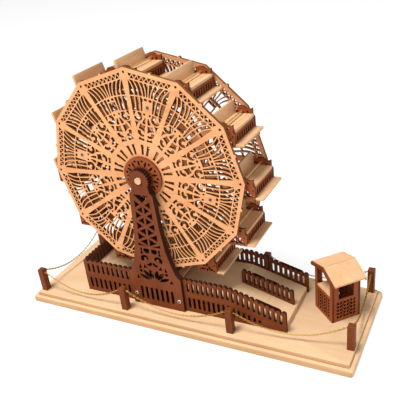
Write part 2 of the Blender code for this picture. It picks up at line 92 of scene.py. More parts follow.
def addStudio():
    half = studio["floorSize"] / 2
    mesh = bpy.data.meshes.new("floor")
    mesh.from_pydata([(-half, -half, 0), (half, -half, 0), (half, half, 0), (-half, half, 0)], [], [(0, 1, 2, 3)])
    floor = bpy.data.objects.new("floor", mesh)
    scene.collection.objects.link(floor)
    paper = bpy.data.materials.new("paper")
    paper.use_nodes = True
    shader = paper.node_tree.nodes["Principled BSDF"]
    shader.inputs["Base Color"].default_value = (studio["floor"],) * 3 + (1,)
    shader.inputs["Roughness"].default_value = 0.9
    shader.inputs["Emission Color"].default_value = (1, 1, 1, 1)
    shader.inputs["Emission Strength"].default_value = studio["floorGlow"]
    mesh.materials.append(paper)
    for name in ("key", "fill", "side"):
        addAreaLight(name, **studio[name])
    world = bpy.data.worlds.new("world")
    world.use_nodes = True
    world.node_tree.nodes["Background"].inputs[0].default_value = (1, 1, 1, 1)
    world.node_tree.nodes["Background"].inputs[1].default_value = studio["world"]
    scene.world = world
    scene.view_settings.view_transform = "Standard"  # keeps the stains as warm as they are


setCamera()
addStudio()
print("camera, lights and floor")

# ---- finishes
woods = {  # deep, middle and pale tones, roughness, and how strongly the figure shows
    "paleMaple": {"tones": ((0.55, 0.295, 0.138), (0.65, 0.378, 0.196), (0.73, 0.455, 0.255)), "rough": 0.55, "figure": 0.6},
    "boardMaple": {"tones": ((0.60, 0.385, 0.212), (0.67, 0.44, 0.252), (0.74, 0.495, 0.295)), "rough": 0.55,
                   "figure": 0.8},
    # maple for the board's long upright faces, darker than its top: painted shade
    "shadedEdgeMaple": {"tones": ((0.43, 0.243, 0.116), (0.495, 0.287, 0.141), (0.56, 0.333, 0.169)), "rough": 0.6,
                  "figure": 0.7},
    # maple for the wheel plates, darker and more orange than paleMaple: painted shade for their upright faces
    "shadedPlateMaple": {"tones": ((0.62, 0.265, 0.105), (0.725, 0.335, 0.145), (0.805, 0.40, 0.188)), "rough": 0.55,
                   "figure": 0.5},
    "cutMaple": {"tones": ((0.115, 0.042, 0.010), (0.175, 0.068, 0.016), (0.25, 0.105, 0.028)), "rough": 0.65, "figure": 0.8},
    "darkStain": {"tones": ((0.110, 0.023, 0.0055), (0.158, 0.035, 0.008), (0.205, 0.051, 0.012)), "rough": 0.5,
                  "figure": 0.7},
    # charred cut edges of the dark stain, made darker still: partly the char, partly painted shade
    "cutDarkAndShade": {"tones": ((0.024, 0.006, 0.003), (0.038, 0.0095, 0.005), (0.055, 0.014, 0.007)), "rough": 0.55,
                "figure": 0.7},
    "redStain": {"tones": ((0.19, 0.040, 0.010), (0.265, 0.060, 0.015), (0.34, 0.088, 0.025)), "rough": 0.5,
                 "figure": 0.7},
    # charred cut edges of the red stain, made darker still: partly the char, partly painted shade in the holes
    "cutRedAndShade": {"tones": ((0.075, 0.018, 0.006), (0.110, 0.027, 0.008), (0.15, 0.040, 0.013)), "rough": 0.6,
               "figure": 0.8},
}
metals = {
    "rodBrass": {"colour": (0.98, 0.75, 0.34), "rough": 0.36},
    "chainBrass": {"colour": (0.50, 0.29, 0.065), "rough": 0.38},
    "boltSteel": {"colour": (0.70, 0.72, 0.75), "rough": 0.25},
    "screwSteel": {"colour": (0.16, 0.19, 0.23), "rough": 0.30},
    # near-black steel for the rod caps, and for screw recesses, where it is painted shade
    "darkSteelAndRecessShade": {"colour": (0.045, 0.052, 0.062), "rough": 0.35},
}
grainTurn = {"x": (0, 0, 0), "y": (0, 0, math.pi / 2), "z": (0, math.pi / 2, 0)}


def addNode(tree, kind, **values):
    node = tree.nodes.new(kind)
    for key, value in values.items():
        setattr(node, key, value)
    return node


def stretchedNoise(tree, coordinates, stretch, detail):
    # noise drawn out along the grain: each axis is multiplied by its own number of cells per metre
    mapping = addNode(tree, "ShaderNodeMapping")
    mapping.inputs["Scale"].default_value = stretch
    noise = addNode(tree, "ShaderNodeTexNoise")
    noise.inputs["Scale"].default_value = 1
    noise.inputs["Detail"].default_value = detail
    noise.inputs["Roughness"].default_value = 0.6
    tree.links.new(coordinates, mapping.inputs["Vector"])
    tree.links.new(mapping.outputs["Vector"], noise.inputs["Vector"])
    return noise.outputs["Fac"]


def mixed(tree, share, first, second):
    mix = addNode(tree, "ShaderNodeMix", data_type="FLOAT")
    mix.inputs["Factor"].default_value = share
    tree.links.new(first, mix.inputs[2])
    tree.links.new(second, mix.inputs[3])
    return mix.outputs[0]


finishes = {}


def wood(kind, grain="x", number=0):
    # broad figure and fine pores, both drawn out along the grain, pick a tone and lift the surface
    key = f"{kind}_{grain}_{number}"
    if key in finishes:
        return finishes[key]
    setting = woods[kind]
    surface = bpy.data.materials.new(key)
    surface.use_nodes = True
    tree = surface.node_tree
    shader = tree.nodes["Principled BSDF"]
    shader.inputs["Specular IOR Level"].default_value = 0.15  # oiled, not varnished
    place = addNode(tree, "ShaderNodeTexCoord")
    turn = addNode(tree, "ShaderNodeMapping")
    turn.inputs["Rotation"].default_value = grainTurn[grain]
    turn.inputs["Location"].default_value = (0.37 * number, 0.211 * number, 0.173 * number)
    tree.links.new(place.outputs["Object"], turn.inputs["Vector"])
    along = turn.outputs["Vector"]
    figure = stretchedNoise(tree, along, (7, 95, 95), 4)
    pores = stretchedNoise(tree, along, (60, 1500, 1500), 3)
    patch = stretchedNoise(tree, along, (14, 22, 22), 2)
    both = mixed(tree, 0.35, figure, pores)
    shade = mixed(tree, 0.35, both, patch)
    ramp = addNode(tree, "ShaderNodeValToRGB")
    spread = 0.5 * setting["figure"] * 0.5
    stops = ramp.color_ramp.elements
    stops[0].position, stops[1].position = 0.5 - spread, 0.5 + spread
    stops[0].color = (*setting["tones"][0], 1)
    stops[1].color = (*setting["tones"][2], 1)
    middle = stops.new(0.5)
    middle.color = (*setting["tones"][1], 1)
    tree.links.new(shade, ramp.inputs["Fac"])
    tree.links.new(ramp.outputs["Color"], shader.inputs["Base Color"])
    gloss = addNode(tree, "ShaderNodeMapRange")
    gloss.inputs["To Min"].default_value = setting["rough"] + 0.12
    gloss.inputs["To Max"].default_value = setting["rough"] - 0.08
    tree.links.new(both, gloss.inputs["Value"])
    tree.links.new(gloss.outputs["Result"], shader.inputs["Roughness"])
    bump = addNode(tree, "ShaderNodeBump")
    bump.inputs["Strength"].default_value = 0.25
    bump.inputs["Distance"].default_value = 0.0002
    tree.links.new(pores, bump.inputs["Height"])
    tree.links.new(bump.outputs["Normal"], shader.inputs["Normal"])
    finishes[key] = surface
    return surface


def metal(kind):
    # a metal whose gloss and tone drift with fine handling marks
    if kind in finishes:
        return finishes[kind]
    setting = metals[kind]
    surface = bpy.data.materials.new(kind)
    surface.use_nodes = True
    tree = surface.node_tree
    shader = tree.nodes["Principled BSDF"]
    shader.inputs["Metallic"].default_value = 1
    place = addNode(tree, "ShaderNodeTexCoord")
    marks = stretchedNoise(tree, place.outputs["Object"], (420, 420, 420), 3)
    ramp = addNode(tree, "ShaderNodeValToRGB")
    ramp.color_ramp.elements[0].position = 0.3
    ramp.color_ramp.elements[1].position = 0.7
    ramp.color_ramp.elements[0].color = (*[0.72 * value for value in setting["colour"]], 1)
    ramp.color_ramp.elements[1].color = (*setting["colour"], 1)
    tree.links.new(marks, ramp.inputs["Fac"])
    tree.links.new(ramp.outputs["Color"], shader.inputs["Base Color"])
    gloss = addNode(tree, "ShaderNodeMapRange")
    gloss.inputs["To Min"].default_value = setting["rough"]
    gloss.inputs["To Max"].default_value = setting["rough"] + 0.2
    tree.links.new(marks, gloss.inputs["Value"])
    tree.links.new(gloss.outputs["Result"], shader.inputs["Roughness"])
    finishes[kind] = surface
    return surface


# ---- shape tools; a part is (points in mm, faces, index of its finish for each face)
def ringPoints(centre, radius, count=16, turn=0):
    # a circle: centre plus radius times (cos, sin)
    angle = turn + np.arange(count) * 2 * np.pi / count
    return np.column_stack([centre[0] + radius * np.cos(angle), centre[1] + radius * np.sin(angle)])


def boxPoints(x0, x1, y0, y1):
    return np.array([(x0, y0), (x1, y0), (x1, y1), (x0, y1)], float)


def along(line, share):
    # points of a polyline at shares of its length
    line = np.asarray(line, float)
    steps = np.concatenate([[0], np.cumsum(np.linalg.norm(np.diff(line, axis=0), axis=1))])
    return np.column_stack([np.interp(np.asarray(share) * steps[-1], steps, line[:, axis]) for axis in range(line.shape[1])])


def lengthOf(line):
    return np.linalg.norm(np.diff(np.asarray(line, float), axis=0), axis=1).sum()


def softLoop(edges, radius, rounds=3):
    # a loop of edges with each corner swapped for a quadratic curve that starts and ends radius away from it
    pieces = []
    for number, edge in enumerate(edges):
        following = edges[(number + 1) % len(edges)]
        size, nextSize = lengthOf(edge), lengthOf(following)
        cut, nextCut = min(radius / size, 0.45), min(radius / nextSize, 0.45)
        inner = along(edge, np.linspace(cut, 1 - cut, max(2, len(edge))))
        end, corner, start = inner[-1], np.asarray(edge[-1], float), along(following, [nextCut])[0]
        t = np.linspace(0, 1, rounds + 1)[1:-1, None]
        pieces += [inner, (1 - t) ** 2 * end + 2 * t * (1 - t) * corner + t ** 2 * start]
    return np.vstack(pieces)


def softPolygon(corners, radius, dip=0, count=5):
    # a polygon with rounded corners, whose sides bend inwards by dip times their length
    corners = np.asarray(corners, float)
    middle = corners.mean(axis=0)
    edges = []
    for here, there in zip(corners, np.roll(corners, -1, axis=0)):
        t = np.linspace(0, 1, count)[:, None]
        inward = middle - (here + there) / 2
        inward = inward / np.linalg.norm(inward)
        bend = 4 * t * (1 - t) * dip * np.linalg.norm(there - here)
        edges.append(here + (there - here) * t + inward * bend)
    return softLoop(edges, radius)


def stroke(path, half, startBlob=0, endBlob=0, count=13):
    # a line thickened to both sides: the path plus and minus its normal times a half width, which swells
    # into a round blob, the root of blob squared minus the distance squared, at an end that has one
    share = np.linspace(0, 1, count)
    line = along(path, share)
    size = lengthOf(path)
    tangent = np.gradient(line, axis=0)
    tangent /= np.linalg.norm(tangent, axis=1)[:, None]
    normal = np.column_stack([-tangent[:, 1], tangent[:, 0]])
    width = np.interp(share, np.linspace(0, 1, len(half)), half)
    for blob, gone in ((startBlob, share * size), (endBlob, (1 - share) * size)):
        if blob:
            width = np.maximum(width, np.sqrt(np.maximum(blob ** 2 - (gone - blob) ** 2, 0.0004)) * (gone < 2 * blob))
    width = np.maximum(width, 0.12)[:, None]
    return np.vstack([line + normal * width, (line - normal * width)[::-1]])


def arcPath(centre, radius, first, last, shrink=1, count=25):
    # a spiral: the angle runs from first to last in degrees while the radius shrinks by a factor
    t = np.linspace(0, 1, count)
    angle = np.radians(first + (last - first) * t)
    reach = radius * (1 + (shrink - 1) * t)
    return np.column_stack([centre[0] + reach * np.cos(angle), centre[1] + reach * np.sin(angle)])


def leaf(centre, length, width, degrees, count=6, power=1):
    # a pointed oval: half width times a power of the sine along its length, turned about its centre
    t = np.linspace(0, 1, count + 1)
    upper = np.column_stack([(t - 0.5) * length, width / 2 * np.abs(np.sin(np.pi * t)) ** power])
    loop = np.vstack([upper, (upper * (1, -1))[-2:0:-1]])
    c, s = math.cos(math.radians(degrees)), math.sin(math.radians(degrees))
    return loop @ np.array([(c, s), (-s, c)]) + centre


def mirrored(loops, axis=0):
    flip = np.array([-1, 1]) if axis == 0 else np.array([1, -1])
    return loops + [loop * flip for loop in loops]


def insideLoop(loop, spots):
    # even-odd rule: how often a ray along X crosses the loop, for all the spots at once
    x0, y0 = loop[:, 0], loop[:, 1]
    x1, y1 = np.roll(x0, -1), np.roll(y0, -1)
    x, y = spots[:, 0][:, None], spots[:, 1][:, None]
    rise = np.where(y1 == y0, 1e-12, y1 - y0)
    return (((y0 > y) != (y1 > y)) & (x < x0 + (x1 - x0) * (y - y0) / rise)).sum(axis=1) % 2 == 1


def flatFill(loops):
    # triangles between the loops' points, kept where their middle is in the first loop and in none of the others
    start, edges = 0, []
    for loop in loops:
        edges += [(start + n, start + (n + 1) % len(loop)) for n in range(len(loop))]
        start += len(loop)
    points, _, triangles, *_ = delaunay_2d_cdt([Vector(point) for point in np.vstack(loops).tolist()], edges, [], 0, 1e-4)
    points, triangles = np.array([tuple(point) for point in points]), np.array(triangles)
    middle = points[triangles].mean(axis=1)
    kept = insideLoop(loops[0], middle)
    for loop in loops[1:]:
        near = kept & (middle >= loop.min(axis=0)).all(axis=1) & (middle <= loop.max(axis=0)).all(axis=1)
        kept[near] &= ~insideLoop(loop, middle[near])
    return points, triangles[kept]


def thicken(points, triangles, thick, face=0, wall=1):
    # two copies of the flat triangles, half the thickness up and down, and a wall under each edge used once
    used, triangles = np.unique(triangles, return_inverse=True)
    points, triangles = points[used], triangles.reshape(-1, 3)
    count = len(points)
    turn = np.cross(points[triangles[:, 1]] - points[triangles[:, 0]], points[triangles[:, 2]] - points[triangles[:, 0]])
    triangles = np.where(turn[:, None] < 0, triangles[:, ::-1], triangles)
    edges = np.vstack([triangles[:, [0, 1]], triangles[:, [1, 2]], triangles[:, [2, 0]]])
    known = set(map(tuple, edges.tolist()))
    rim = [(a, b) for a, b in edges.tolist() if (b, a) not in known]
    faces = [tuple(f) for f in triangles.tolist()]
    faces += [tuple(f) for f in (triangles[:, ::-1] + count).tolist()]
    faces += [(a + count, b + count, b, a) for a, b in rim]
    height = np.repeat([thick / 2, -thick / 2], count)[:, None]
    marks = np.concatenate([np.full(2 * len(triangles), face), np.full(len(rim), wall)])
    return np.hstack([np.vstack([points, points]), height]), faces, marks


def cutSheet(loops, thick, face=0, wall=1):
    # a sheet with holes, about its own middle plane
    return thicken(*flatFill(loops), thick, face, wall)


def gridPart(points, closeRows=False, closeColumns=False, caps=False, finish=0):
    # quads between neighbouring rows and columns of a grid of points, with optional end faces
    rows, columns = points.shape[:2]
    row, column = np.meshgrid(np.arange(rows if closeRows else rows - 1),
                              np.arange(columns if closeColumns else columns - 1), indexing="ij")
    here, beside = row * columns + column, row * columns + (column + 1) % columns
    above, across = ((row + 1) % rows) * columns + column, ((row + 1) % rows) * columns + (column + 1) % columns
    faces = [tuple(face) for face in np.stack([here, beside, across, above], axis=-1).reshape(-1, 4).tolist()]
    if caps:
        faces += [tuple(range(columns))[::-1], tuple((rows - 1) * columns + n for n in range(columns))]
    return points.reshape(-1, 3), faces, np.full(len(faces), finish)


def tubePart(path, radius, sides=8, finish=0, closed=False):
    # a circle carried along a path, set square to the path's direction at each point
    path = np.asarray(path, float)
    if closed:
        tangent = np.roll(path, -1, axis=0) - np.roll(path, 1, axis=0)
    else:
        tangent = np.gradient(path, axis=0)
    tangent /= np.linalg.norm(tangent, axis=1)[:, None]
    guide = np.array([0, 0, 1.0]) if abs(tangent[0][2]) < 0.9 else np.array([1.0, 0, 0])
    side = np.cross(tangent, guide)
    side /= np.linalg.norm(side, axis=1)[:, None]
    top = np.cross(side, tangent)
    angle = np.arange(sides) * 2 * np.pi / sides
    ring = side[:, None] * np.cos(angle)[None, :, None] + top[:, None] * np.sin(angle)[None, :, None]
    return gridPart(path[:, None] + ring * radius, closed, True, not closed, finish)


def turnedPart(profile, count=32, finish=0):
    # a profile of (radius, y) swept round the Y axis; the first and last rings are closed with flat faces
    profile = np.asarray(profile, float)
    angle = np.arange(count) * 2 * np.pi / count
    radius, y = profile[:, 0][:, None], profile[:, 1][:, None]
    grid = np.stack([radius * np.cos(angle), y + 0 * angle, radius * np.sin(angle)], axis=-1)
    return gridPart(grid, False, True, True, finish)


def blockPart(x, y, z, bevel=0.4, finish=0):
    # a board with its edges taken off: an eight-cornered ring at four heights, the end ones drawn in by the bevel
    (x0, x1), (y0, y1), rings = x, y, []
    for height, inset in ((z[0], bevel), (z[0] + bevel, 0), (z[1] - bevel, 0), (z[1], bevel)):
        cut = inset + bevel
        rings.append([(x0 + cut, y0 + inset), (x1 - cut, y0 + inset), (x1 - inset, y0 + cut), (x1 - inset, y1 - cut),
                      (x1 - cut, y1 - inset), (x0 + cut, y1 - inset), (x0 + inset, y1 - cut), (x0 + inset, y0 + cut)])
        rings[-1] = [(px, py, height) for px, py in rings[-1]]
    return gridPart(np.array(rings, float), False, True, True, finish)


def moved(part, change):
    return change(part[0]), part[1], part[2]


def facingFront(x0, y0, z0=0):
    # a sheet's own X and Y become X and Z
    return lambda p: np.column_stack([x0 + p[:, 0], y0 + p[:, 2], z0 + p[:, 1]])


def facingSide(x0, y0=0, z0=0):
    # a sheet's own X and Y become Y and Z
    return lambda p: np.column_stack([x0 + p[:, 2], y0 + p[:, 0], z0 + p[:, 1]])


def shifted(x, y, z):
    return lambda p: p + (x, y, z)


def addPiece(name, parts, surfaces, body, slot, *replaced, smooth=35):
    # all the parts of one piece in one mesh, in metres, riding on its body
    points, faces, marks, start = [], [], [], 0
    for corners, sides, mark in parts:
        points.append(corners)
        faces += [tuple(index + start for index in side) for side in sides]
        marks.append(mark)
        start += len(corners)
    mesh = bpy.data.meshes.new(name)
    mesh.from_pydata((np.vstack(points) * 0.001).tolist(), [], faces)
    form = bmesh.new()
    form.from_mesh(mesh)
    bmesh.ops.recalc_face_normals(form, faces=form.faces)
    form.to_mesh(mesh)
    form.free()
    for surface in surfaces:
        mesh.materials.append(surface)
    mesh.polygons.foreach_set("material_index", np.concatenate(marks).astype(np.int32))
    mesh.shade_smooth()
    mesh.set_sharp_from_angle(angle=math.radians(smooth))
    piece = bpy.data.objects.new(name, mesh)
    scene.collection.objects.link(piece)
    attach(piece, body)
    if replaced:
        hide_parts(*replaced)
    return piece


# ---- wheel
wheel = {
    "axle": (-53.0, 290.0),
    "sides": 12, "firstCorner": 92.0,
    "corner": 193.0, "rodCircle": 185.0, "rodHole": 2.0,
    "plateY": 49.7, "thick": 6.0, "bore": 6.65,
    "nub": ((-3, 0), (-1.8, 2.6), (1.8, 2.6), (3, 0)),
    "band": (171.9, 180.0), "bandTeeth": 9, "bandPitch": 9.1, "ribbon": 1.6,
    "bar": 169.6, "arcHigh": 146.5, "arcLow": 120.0,
    "ribsTop": (0, 10.5, 19.5, 29.0, 38.2), "ribsHigh": (0, 4.2, 9.8, 17.5, 25.5),
    "ribsLowTop": (8.3, 16.2, 25.0), "ribsLow": (8.3, 12.6, 20.8),
    "rib": 2.0, "spoke": 4.0, "spokeTop": 6.4,
    "screwCircle": 130.0,
}


def arcHeight(radius, across):
    return np.sqrt(radius ** 2 - np.asarray(across, float) ** 2)


def spokeEdge(outward):
    # the spoke's side: the line to the corner less half the spoke's width, which grows towards the rim
    share = np.clip((np.asarray(outward, float) - 120) / 55, 0, 1)
    half = wheel["spoke"] + (wheel["spokeTop"] - wheel["spoke"]) * share ** 2
    return np.tan(np.radians(15)) * outward - half / np.cos(np.radians(15))


def ribLine(low, high, bottom, top, bend, count=7):
    # a rib's middle line: sideways goes from low to high as height goes from bottom to top, bending outwards
    t = np.linspace(0, 1, count)
    across = low + (high - low) * t ** bend
    return np.column_stack([across, bottom + (top - bottom) * t])


def cellBetween(left, right, low, high, radius):
    # the opening between two ribs: their lines moved inwards by half a rib, joined along the bars
    half = wheel["rib"] / 2
    sides = []
    for line, way in ((left, 1), (right, -1)):
        slope = np.gradient(line[:, 0], line[:, 1])
        sides.append(np.column_stack([line[:, 0] + way * half * np.sqrt(1 + slope ** 2), line[:, 1]]))
    first, last = sides
    t = np.linspace(0, 1, 3)
    bottom = np.column_stack([first[0, 0] + (last[0, 0] - first[0, 0]) * t, low + 0 * t])
    top = np.column_stack([last[-1, 0] + (first[-1, 0] - last[-1, 0]) * t, high + 0 * t])
    bottom[:, 1] = [low if low > 165 else arcHeight(low, x) for x in bottom[:, 0]]
    top[:, 1] = [high if high > 165 else arcHeight(high, x) for x in top[:, 0]]
    first[0], first[-1] = bottom[0], top[-1]
    last[0], last[-1] = bottom[-1], top[0]
    return softLoop([bottom, last, top, first[::-1]], radius)


def sectorCuts(pad):
    # openings of one twelfth, as (sideways, outward) about its middle line
    w = wheel
    cuts, sided = [], []
    low, high = w["band"]
    reach = (w["bandPitch"] / 2) - w["ribbon"] / 2 * math.hypot(w["bandPitch"] / 2, high - low) / (high - low)
    deep = (high - low) * reach / (w["bandPitch"] / 2)
    for number in range(w["bandTeeth"]):
        s = (number - (w["bandTeeth"] - 1) / 2) * w["bandPitch"]
        cuts.append(np.array([(s - reach, high), (s, high - deep), (s + reach, high)]))
        if number:
            s -= w["bandPitch"] / 2
            cuts.append(np.array([(s - reach, low), (s + reach, low), (s, low + deep)]))
    edge = np.linspace(w["arcHigh"], w["bar"], 7)
    upper = [ribLine(a, b, arcHeight(w["arcHigh"], a), w["bar"], 1.9) for a, b in zip(w["ribsHigh"], w["ribsTop"])]
    upper.append(np.column_stack([spokeEdge(edge) + w["rib"] / 2, edge]))
    for left, right in zip(upper, upper[1:]):
        sided.append(cellBetween(left, right, w["arcHigh"] + 0.9, w["bar"], 1.5))
    edge = np.linspace(w["arcLow"], w["arcHigh"], 7)
    lower = [ribLine(a, b, arcHeight(w["arcLow"], a), arcHeight(w["arcHigh"], b), 1.2)
             for a, b in zip(w["ribsLow"], w["ribsLowTop"])]
    lower.append(np.column_stack([spokeEdge(edge) + w["rib"] / 2, edge]))
    for left, right in zip(lower, lower[1:]):
        sided.append(cellBetween(left, right, w["arcLow"] + 1.1, w["arcHigh"] - 0.9, 1.2))
    sided.append(softPolygon([(1.6, 140.4), (7.2, 140.2), (7.2, 144.4), (1.6, 144.8)], 0.6))
    if not pad:
        cuts.append(softPolygon(boxPoints(-7, 7, 123, 138.2), 0.5))
    # scrolls: overlapping loops join into one opening
    sided.append(ringPoints((5.3, 116.6), 2.1, 10))
    sided.append(stroke(arcPath((16.9, 110.8), 5.9, 104, 342, 0.98), (2.3, 2.8, 3.0, 3.0, 2.9, 2.6), 0, 2.9, 19))
    sided.append(softPolygon([(9.6, 118.8), (18.0, 118.4), (17.4, 114.2), (11.2, 112.2)], 0.6))
    sided.append(softPolygon([(21.0, 118.6), (27.0, 117.6), (25.6, 109.6), (23.4, 111.4)], 0.6, 0.04))
    sided.append(stroke([(2.7, 111.2), (3.5, 106.6), (4.7, 102.6), (5.2, 99.4)], (0.6, 1.5, 2.4, 2.9, 2.7), 0, 2.8))
    sided.append(softPolygon([(13.6, 101.6), (23.0, 101.0), (19.0, 87.4)], 0.5, 0.10))
    sided.append(softPolygon([(1.7, 96.8), (2.2, 84.0), (15.0, 89.4), (12.2, 98.8)], 0.6, 0.07))
    sided.append(stroke([(13.2, 86.0), (12.7, 81.4), (9.4, 78.2), (5.6, 77.6), (3.9, 79.6)], (3.0, 3.0, 2.6, 2.2, 1.9), 3.1, 1.9, 17))
    sided.append(stroke([(2.5, 70.8), (7.0, 70.2), (12.8, 71.8)], (2.6, 1.9, 1.7, 2.1, 3.2), 0, 0, 11))
    for side in (-1, 1):
        cuts.append(stroke([(side * 3.9, 41.6), (side * 6.4, 60.4)], (2.1, 2.2, 2.3, 2.6, 2.9), 2.1, 2.9, 11))
    return cuts + mirrored(sided)


def plateSheet():
    # one twelfth is filled between its two seams, turned round the axle, and its seam points are joined
    corner, bore = wheel["corner"], wheel["bore"]
    apothem = corner * math.cos(math.pi / 12)
    seam = np.array([(math.sin(math.pi / 12) * r, math.cos(math.pi / 12) * r) for r in (bore, corner)])
    nub = [(s, apothem + height) for s, height in wheel["nub"]]
    outline = np.vstack([seam[0] * (-1, 1), [(0, bore)], seam[0], seam[1], nub[::-1], seam[1] * (-1, 1)])
    hole = wheel["rodCircle"]
    flats = []
    for pad in (False, True):
        rods = [ringPoints((side * math.sin(math.pi / 12) * hole, math.cos(math.pi / 12) * hole),
                           wheel["rodHole"] + 0.3, 12, math.radians(90 - side * 15)) for side in (-1, 1)]
        flats.append(flatFill([outline, *rods, *sectorCuts(pad)]))
    points, triangles, start = [], [], 0
    for number in range(wheel["sides"]):
        middle = math.radians(wheel["firstCorner"] + 30 * number + 15)
        flat, faces = flats[number % 3 == 2]
        turn = np.array([(math.sin(middle), -math.cos(middle)), (math.cos(middle), math.sin(middle))])
        points.append(flat @ turn)
        triangles.append(faces + start)
        start += len(flat)
    points, joined = np.unique(np.round(np.vstack(points), 3), axis=0, return_inverse=True)
    return thicken(points, joined.reshape(-1)[np.vstack(triangles)], wheel["thick"])


def addWheelPlates():
    x, z = wheel["axle"]
    sheet = plateSheet()
    print("wheel plate faces", len(sheet[1]))
    for name, side in (("front", -1), ("back", 1)):
        parts = [moved(sheet, facingFront(x, side * wheel["plateY"], z))]
        # both plates take the darker maple copy: painted shade
        addPiece(f"wheelPlate_{name}", parts, [wood("shadedPlateMaple", "x", 1), wood("cutMaple", "x", 1)], "wheel",
                 "light_wood", f"wheel_{name}")


addWheelPlates()
print("wheel plates")

def finishNode(name, surface):
    mesh = nodes[name].data
    mesh.materials.clear()
    mesh.materials.append(surface)


# ---- hub: fretted disc, scalloped washers, axle and spacers with their screws
# shadeDisc is the thickness of a solid dark disc behind the fretted one: painted shade seen through its holes
hub = {
    "disc": 38.0, "discY": (53.0, 57.0), "washers": 2, "washerY": (57.0, 59.4), "washer": 21.5, "lobes": 20,
    "lobe": 1.8, "dots": 13, "dotCircle": 31.0, "dot": 2.4, "petals": 13, "petal": (20.0, 32.8, 4.5), "shadeDisc": 0.6,
    "screw": 2.8, "spacerY": 46.4, "spacer": 4.0,
}


def scallopedLoop(radius, lobes, depth, count):
    # a circle whose radius falls by depth times the square of a cosine, which gives round lobes
    angle = np.arange(count) * 2 * np.pi / count
    reach = radius - depth * np.cos(angle * lobes / 2) ** 2
    return np.column_stack([reach * np.cos(angle), reach * np.sin(angle)])


def screwPart(radius, height, finish=0):
    # a domed head with a star-shaped recess, made from rings whose height follows a profile of the radius
    rise = [(1.0, 0), (1.0, 0.45), (0.92, 0.75), (0.70, 0.95), (0.56, 1.0), (0.50, 0.98), (0.44, 0.30), (0.05, 0.25)]
    angle = np.arange(24) * 2 * np.pi / 24
    rings = []
    for reach, up in rise:
        star = 1 + (0.14 * np.cos(6 * angle) if 0.4 < reach < 0.52 else 0 * angle)
        rings.append(np.column_stack([radius * reach * star * np.cos(angle), 0 * angle - height * up,
                                      radius * reach * star * np.sin(angle)]))
    head = gridPart(np.array(rings), False, True, True, finish)
    # the recess takes the near-black steel: painted shade
    head[2][5 * 24:7 * 24] = finish + 1  # the recess
    head[2][-1] = finish + 1
    return head


def addHub():
    x, z = wheel["axle"]
    holes = [ringPoints((0, 0), wheel["bore"], 24)]
    for number in range(hub["dots"]):
        turn = 2 * math.pi * number / hub["dots"]
        holes.append(ringPoints((hub["dotCircle"] * math.cos(turn), hub["dotCircle"] * math.sin(turn)), hub["dot"], 8))
    low, high, width = hub["petal"]
    for number in range(hub["petals"]):
        turn = 360 * (number + 0.5) / hub["petals"]
        way = np.array([math.cos(math.radians(turn)), math.sin(math.radians(turn))])
        holes.append(leaf(way * (low + high) / 2, high - low, width, turn))
    inner, outer = hub["discY"][0] + hub["shadeDisc"], hub["discY"][1]
    disc = cutSheet([ringPoints((0, 0), hub["disc"], 72), *holes], outer - inner)
    # a solid dark disc behind the fretted one, in the darkest cut-edge tone: painted shade in the holes
    shadeDisc = cutSheet([ringPoints((0, 0), hub["disc"] - 0.4, 72), holes[0]], hub["shadeDisc"], 3, 3)  # dark behind them
    loop = scallopedLoop(hub["washer"], hub["lobes"], hub["lobe"], 160)
    bore = ringPoints((0, 0), wheel["bore"], 24)
    thick = (hub["washerY"][1] - hub["washerY"][0]) / hub["washers"]
    washer = cutSheet([loop, bore], thick - 0.05, 2, 2)
    turned = math.pi / hub["lobes"]
    c, s = math.cos(turned), math.sin(turned)
    for name, side in (("front", -1), ("back", 1)):
        parts = [moved(disc, facingFront(x, side * (inner + outer) / 2, z)),
                 moved(shadeDisc, facingFront(x, side * (inner - hub["shadeDisc"] / 2), z))]
        for number in range(hub["washers"]):
            spun = moved(washer, lambda p: p @ np.array([(c, s, 0), (-s, c, 0), (0, 0, 1)]) if number else p)
            parts.append(moved(spun, facingFront(x, side * (hub["washerY"][0] + thick * (number + 0.5)), z)))
        addPiece(f"hubDisc_{name}", parts, [wood("redStain", "x", 3), wood("cutRedAndShade", "x", 3), wood("darkStain", "x", 3),
                                            wood("cutDarkAndShade", "x", 3)], "wheel", "red_wood", f"hub_{name}")
    finishNode("axle", wood("paleMaple", "y", 4))
    for number in range(4):
        turn = math.radians(wheel["firstCorner"] - 15 - 90 * number)
        place = x + wheel["screwCircle"] * math.cos(turn), z + wheel["screwCircle"] * math.sin(turn)
        heads = []
        for side in (-1, 1):
            head = moved(screwPart(hub["screw"], 1.5), lambda p: p * (1, -side, 1))
            heads.append(moved(head, shifted(place[0], side * (wheel["plateY"] + wheel["thick"] / 2), place[1])))
        addPiece(f"spacerScrews_{number + 1}", heads, [metal("screwSteel"), metal("darkSteelAndRecessShade")], "wheel", "light_wood")
        finishNode(f"wheel_spacer_{number + 1}", wood("paleMaple", "y", 5 + number))


addHub()
print("hub")

# ---- towers
tower = {
    "y": 66.0, "thick": 12.0, "foot": 19.3, "base": 56.0, "block": 92.0,
    "side": ((50, 96.5), (46, 104), (39, 125), (33, 150), (29.4, 175), (27, 200), (24.5, 250), (23.5, 263), (19, 267)),
    "head": 20.6, "headLobes": 26, "headLobe": 2.4, "bore": 7.7,
    "slots": 7, "slotPitch": 11.2, "slot": 2.8, "slotZ": (33, 62),
    "nodes": 5, "nodeLow": 154.0, "nodePitch": 22.3, "stile": 8.6, "bar": 1.6, "tip": 4.4, "vee": 262.5,
    "fan": 76.0, "petals": ((17, 8.6, 29.6, 8.2), (42, 8.6, 33.6, 9.2), (67, 10.6, 35.6, 7.4)),
    "bolts": ((-47.5, 42.5), (47.5, 42.5)), "bolt": 4.0,
}


def towerHalf(z):
    side = np.array(tower["side"], float)
    return np.interp(z, side[:, 1], side[:, 0])


def roundedSlot(x, low, high, half):
    # an upright slot with rounded ends
    return softPolygon([(x - half, low), (x + half, low), (x + half, high), (x - half, high)], half * 0.8, 0, 2)


